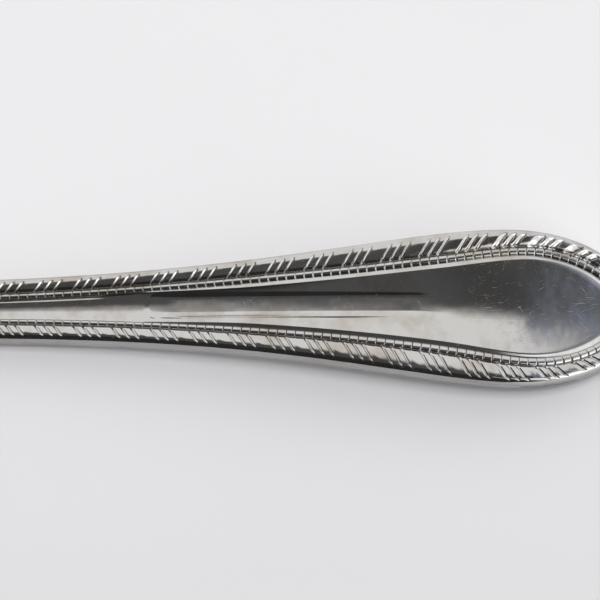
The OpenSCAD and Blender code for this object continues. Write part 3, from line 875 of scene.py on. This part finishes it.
# How far each section of the collar lies before its end, and how much it is drawn in
COLLAR_STEPS = ((COLLAR_L * 0.6, 0), (COLLAR_L * 0.2, 0), (0.08, 0.02), (0, 0.12))
TANG_L, TANG_W, TANG_END_W, TANG_T, TANG_END_T = 32.0, 4.0, 2.4, 1.5, 1.0
collar_half, collar_t = MOUTH_W / 2 + COLLAR_LIP, MOUTH_T + 2 * COLLAR_LIP
for share in np.linspace(0, 1, BOLSTER_STEPS + 1)[1:]:
    eased = float(ease(share))
    sections.append(section(mix(bolster_x, collar_end - COLLAR_L, share), 0,
                            mix(MOUTH_W / 2, collar_half, eased), mix(BLADE_T / 2, mouth_z, eased),
                            mix(BLADE_T, collar_t, eased), mix(SQUARE_BLADE, SQUARE_COLLAR, eased)))
for back, shrink in COLLAR_STEPS:
    sections.append(section(collar_end - back, 0, collar_half - shrink, mouth_z, collar_t - 2 * shrink,
                            SQUARE_COLLAR))
for share in (0, 0.5, 1):
    x = mix(collar_end, collar_end + TANG_L, share)
    sections.append(section(x, 0, mix(TANG_W, TANG_END_W, share) / 2, mid_z(x),
                            mix(TANG_T, TANG_END_T, share), SQUARE_COLLAR))
print("sections in all:", len(sections))

# %% Blade mesh
BLADE_CREASE = math.radians(50)
rows = np.arange(len(sections) * CORNERS).reshape(len(sections), CORNERS)
a, b = rows[:-1], np.roll(rows, -1, axis=1)[:-1]
c, d = np.roll(rows, -1, axis=1)[1:], rows[1:]
faces = np.stack([a, b, c, d], axis=-1).reshape(-1, 4).tolist()
faces += [rows[0][::-1].tolist(), rows[-1].tolist()]
mesh = bpy.data.meshes.new("blade_skin")
mesh.from_pydata((np.array(sections).reshape(-1, 3) * MM).tolist(), [], faces)
mesh.shade_smooth()
mesh.set_sharp_from_angle(angle=BLADE_CREASE)
blade = bpy.data.objects.new("blade_skin", mesh)
scene.collection.objects.link(blade)
print("blade faces:", len(mesh.polygons))

# %% [markdown]
# ## Blade steel
# The blade is the same kind of steel with a finer, directional polish: the wheel ran across it, so its marks
# run from back to edge and stretch every reflection that way. They are streaks in roughness and bump.

# %% Blade finish
# The real polishing marks are finer. These are as coarse as they have to be to show.
STREAK_W, STREAK_L, STREAK_H = 0.15, 9.0, 0.004
CLOUD_L = 9
# Satin-polished stainless: brighter than the handle, with faint streaks across the blade.
satin = bpy.data.materials.new("satin_polished_stainless_steel")
satin.use_nodes = True
satin_tree = satin.node_tree
shader = satin_tree.nodes["Principled BSDF"]
shader.inputs["Metallic"].default_value = 1.0
place = add(satin_tree, "ShaderNodeTexCoord").outputs["Object"]
streak = add(satin_tree, "ShaderNodeMapping", {
    "Vector": place, "Scale": (per_mm(STREAK_W), per_mm(STREAK_L), per_mm(STREAK_L))})
streak = add(satin_tree, "ShaderNodeTexNoise", {"Vector": streak, "Scale": 1.0, "Detail": 2.0})
rough = add(satin_tree, "ShaderNodeMapRange", {"Value": streak, "From Min": 0.3, "From Max": 0.7,
                                               "To Min": 0.14, "To Max": 0.26})
fill(satin_tree, shader, {"Roughness": rough})
cloudy = add(satin_tree, "ShaderNodeTexNoise", {"Vector": place, "Scale": per_mm(CLOUD_L), "Detail": 2.0})
colour = add(satin_tree, "ShaderNodeMix", {"Factor": cloudy, "A": linear("#CDCCCB"),
                                           "B": linear("#C4C1BC")}, data_type="RGBA")
fill(satin_tree, shader, {"Base Color": colour})
bump = add(satin_tree, "ShaderNodeBump", {"Height": streak, "Strength": 0.15, "Distance": STREAK_H * MM})
fill(satin_tree, shader, {"Normal": bump})
blade.data.materials.append(satin)
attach(blade, "root")
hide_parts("blade")
print("material:", satin.name)

# %% [markdown]
# ## Braze and cement
# Silver braze fills the seam between the shells and the joint at the collar, and cement holds the tang. The
# braze shows as a hairline along the edge, so its colour stays close to the steel. The cement is hidden.

# %% Braze and cement finish
def grained(name, pale, dark, grain, metallic, low, high):
    """A plain grained finish: two colours and a range of roughness over one noise."""
    finish = bpy.data.materials.new(name)
    finish.use_nodes = True
    tree = finish.node_tree
    shader = tree.nodes["Principled BSDF"]
    shader.inputs["Metallic"].default_value = metallic
    place = add(tree, "ShaderNodeTexCoord").outputs["Object"]
    noise = add(tree, "ShaderNodeTexNoise", {"Vector": place, "Scale": per_mm(grain), "Detail": 3.0})
    colour = add(tree, "ShaderNodeMix", {"Factor": noise, "A": linear(pale), "B": linear(dark)},
                 data_type="RGBA")
    rough = add(tree, "ShaderNodeMapRange", {"Value": noise, "To Min": low, "To Max": high})
    fill(tree, shader, {"Base Color": colour})
    fill(tree, shader, {"Roughness": rough})
    return finish


# Silver braze: a soft white metal, duller than the polished steel beside it.
silver_braze = grained("silver_braze", "#CFCBC4", "#B9B3A8", 0.6, 1.0, 0.2, 0.35)
# Handle cement: a chalky grey filler with a sandy grain.
cement = grained("handle_cement", "#A9A399", "#8C867C", 0.4, 0.0, 0.8, 0.95)
for node, finish in (("seam_braze", silver_braze), ("bolster_braze", silver_braze), ("cement_core", cement)):
    materials = bpy.data.objects[node].data.materials
    materials.clear()
    materials.append(finish)
    print(node, "gets", finish.name)

# %% [markdown]
# ## Table
# The knife lies on a sheet of white paper. A pale, matt floor shows the knife's shadow without adding a
# second colour, and the steel mirrors it along its lower edges.

# %% Table
FLOOR_R = 3.0
MOTTLE_L = 30
# Painted shade on the paper: it starts 12 mm behind the middle and is full 38 mm in front of it.
PAINTED_SHADE_FROM, PAINTED_SHADE_TO = 12, -38
bpy.ops.mesh.primitive_circle_add(vertices=96, radius=FLOOR_R, fill_type="NGON", location=(0, 0, 0))
table = bpy.context.object
table.name = "table_top"
# White paper: matt, with a very faint mottle, and painted shade that darkens it towards the near edge.
paper = bpy.data.materials.new("white_paper")
paper.use_nodes = True
paper_tree = paper.node_tree
shader = paper_tree.nodes["Principled BSDF"]
shader.inputs["Roughness"].default_value = 0.9
shader.inputs["Specular IOR Level"].default_value = 0.1
place = add(paper_tree, "ShaderNodeTexCoord").outputs["Object"]
mottle = add(paper_tree, "ShaderNodeTexNoise", {"Vector": place, "Scale": per_mm(MOTTLE_L), "Detail": 2.0})
# Painted shade: the paper's colour gets darker towards the near edge, where less light falls.
painted_shade = add(paper_tree, "ShaderNodeSeparateXYZ", {"Vector": place}).outputs["Y"]
painted_shade = add(paper_tree, "ShaderNodeMapRange", {"Value": painted_shade, "From Min": PAINTED_SHADE_FROM * MM,
                                                "From Max": PAINTED_SHADE_TO * MM})
mottle_and_painted_shade = add(paper_tree, "ShaderNodeMath", {0: mottle, 1: 0.2, 2: painted_shade},
             operation="MULTIPLY_ADD")
colour = add(paper_tree, "ShaderNodeMix", {"Factor": mottle_and_painted_shade, "A": linear("#EDECEE"),
                                           "B": linear("#DFDEE1")}, data_type="RGBA")
fill(paper_tree, shader, {"Base Color": colour})
table.data.materials.append(paper)
print("table radius:", FLOOR_R, "m")

# %% [markdown]
# ## Room
# A mirror shows the room, so the room is half of the material. It could be built of walls and lamps. Here the
# world's colour depends on the direction alone, which is quicker to tune: a white wall at the back, a darker
# ceiling, and a dark room on the camera's side, so that one flank of every moulding is light and the other
# dark. On the near right a window lights the cuts and the ends of the beads, with a bluish glow beside it and
# a paler one further to the right.

# %% Directions in the room
world = bpy.data.worlds.new("room")
scene.world = world
world.use_nodes = True
room_tree = world.node_tree
towards = add(room_tree, "ShaderNodeTexCoord").outputs["Generated"]
axis = add(room_tree, "ShaderNodeSeparateXYZ", {"Vector": towards}).outputs
# Two angles from straight up, towards the back and towards the right
back = add(room_tree, "ShaderNodeMath", {0: axis["Y"], 1: axis["Z"]}, operation="ARCTAN2")
side = add(room_tree, "ShaderNodeMath", {0: axis["X"], 1: axis["Z"]}, operation="ARCTAN2")
# The angle above the table, and the turn from the front to the right
rise = add(room_tree, "ShaderNodeMath", {0: axis["Z"]}, operation="ARCSINE")
front = add(room_tree, "ShaderNodeMath", {0: axis["Y"], 1: -1.0}, operation="MULTIPLY")
right = add(room_tree, "ShaderNodeMath", {0: axis["X"], 1: front}, operation="ARCTAN2")


def band(value, start, end):
    """0 before the first angle, 1 after the second, in degrees, with a soft change between them."""
    return add(room_tree, "ShaderNodeMapRange", {"Value": value, "From Min": math.radians(start),
                                                 "From Max": math.radians(end)},
               interpolation_type="SMOOTHSTEP")


def both(a, b):
    return add(room_tree, "ShaderNodeMath", {0: a, 1: b}, operation="MULTIPLY")


def either(a, b):
    return add(room_tree, "ShaderNodeMath", {0: a, 1: b}, operation="MAXIMUM")


print("nodes for directions:", len(room_tree.nodes))

# %% Places in the room
WALL_LEFT, WALL_TILT = math.radians(-14), -0.14
WALL_TURN = math.radians(15)
right_ceiling = band(side, 7, 17)
dark_side = band(back, -22, -38)
beside_window = both(band(side, 22.8, 25.4), band(back, -12, 0))
right_end = both(band(side, 27, 33), band(back, -30, -15))
# The wall's upper edge slants a little, and turns away to the back on the right
turned = add(room_tree, "ShaderNodeMapRange", {"Value": side, "From Min": math.radians(21.6),
                                               "From Max": math.radians(26.4), "To Max": WALL_TURN})
slant = add(room_tree, "ShaderNodeMath", {0: back, 1: turned}, operation="SUBTRACT")
not_left = either(side, WALL_LEFT)
slant = add(room_tree, "ShaderNodeMath", {0: not_left, 1: WALL_TILT, 2: slant},
            operation="MULTIPLY_ADD")
wall = both(band(slant, 11, 19.5), either(band(side, 34, 24), band(back, 36, 48)))
window_end = either(band(right, 112, 96), both(band(right, 140, 122), band(rise, 46, 38)))
window = both(both(band(right, 20, 34), window_end), band(rise, 64, 54))
skirting = band(rise, 5, 2)
print("nodes with the places:", len(room_tree.nodes))

# %% Colours of the room
CEILING, RIGHT_CEILING, DARK_SIDE = (0.1, 0.1, 0.1), (0.07, 0.07, 0.07), (0.03, 0.03, 0.03)
WINDOW_GLOW, RIGHT_GLOW = (0.24, 0.27, 0.34), (0.45, 0.46, 0.5)
WALL, WINDOW, SKIRTING = (1.0, 0.987, 0.968), (1.3, 1.3, 1.3), (0.95, 0.95, 0.95)
room = (*CEILING, 1)
for share, tint in ((right_ceiling, RIGHT_CEILING), (dark_side, DARK_SIDE), (beside_window, WINDOW_GLOW),
                    (right_end, RIGHT_GLOW), (wall, WALL), (window, WINDOW), (skirting, SKIRTING)):
    room = add(room_tree, "ShaderNodeMix", {"Factor": share, "A": room, "B": (*tint, 1)},
               data_type="RGBA")
fill(room_tree, room_tree.nodes["Background"], {"Color": room})
print("room nodes:", len(room_tree.nodes))

# %% [markdown]
# ## Lamps
# A soft lamp on the near right stands for the light of the window. A second one overhead lights the table and
# makes the shadow. The polished steel doesn't show it, because it would draw a hard square on the panel.

# %% Lamps
def soft_lamp(name, turn, rise, distance, size, power):
    """A square soft lamp that looks at the knife. turn is counted from the back to the right, in degrees."""
    turn, rise = math.radians(turn), math.radians(rise)
    lamp = bpy.data.objects.new(name, bpy.data.lights.new(name, "AREA"))
    scene.collection.objects.link(lamp)
    lamp.data.size = size
    lamp.data.energy = power
    way = np.array([math.sin(turn) * math.cos(rise), math.cos(turn) * math.cos(rise), math.sin(rise)])
    lamp.location = LOOK_AT + distance * way
    lamp.rotation_euler = (math.pi / 2 - rise, 0, math.pi - turn)
    print(name, "at", [round(v, 3) for v in lamp.location])
    return lamp


soft_lamp("side_lamp", turn=130, rise=28, distance=0.7, size=0.25, power=0.28)
ceiling_lamp = soft_lamp("ceiling_lamp", turn=0, rise=90, distance=0.8, size=0.2, power=2.65)
ceiling_lamp.visible_glossy = False

# %% [markdown]
# ## End
# Every piece of the knife is built. The dressed knife has to fill the same box as the solids.

# %% Finish
print("pieces ready")
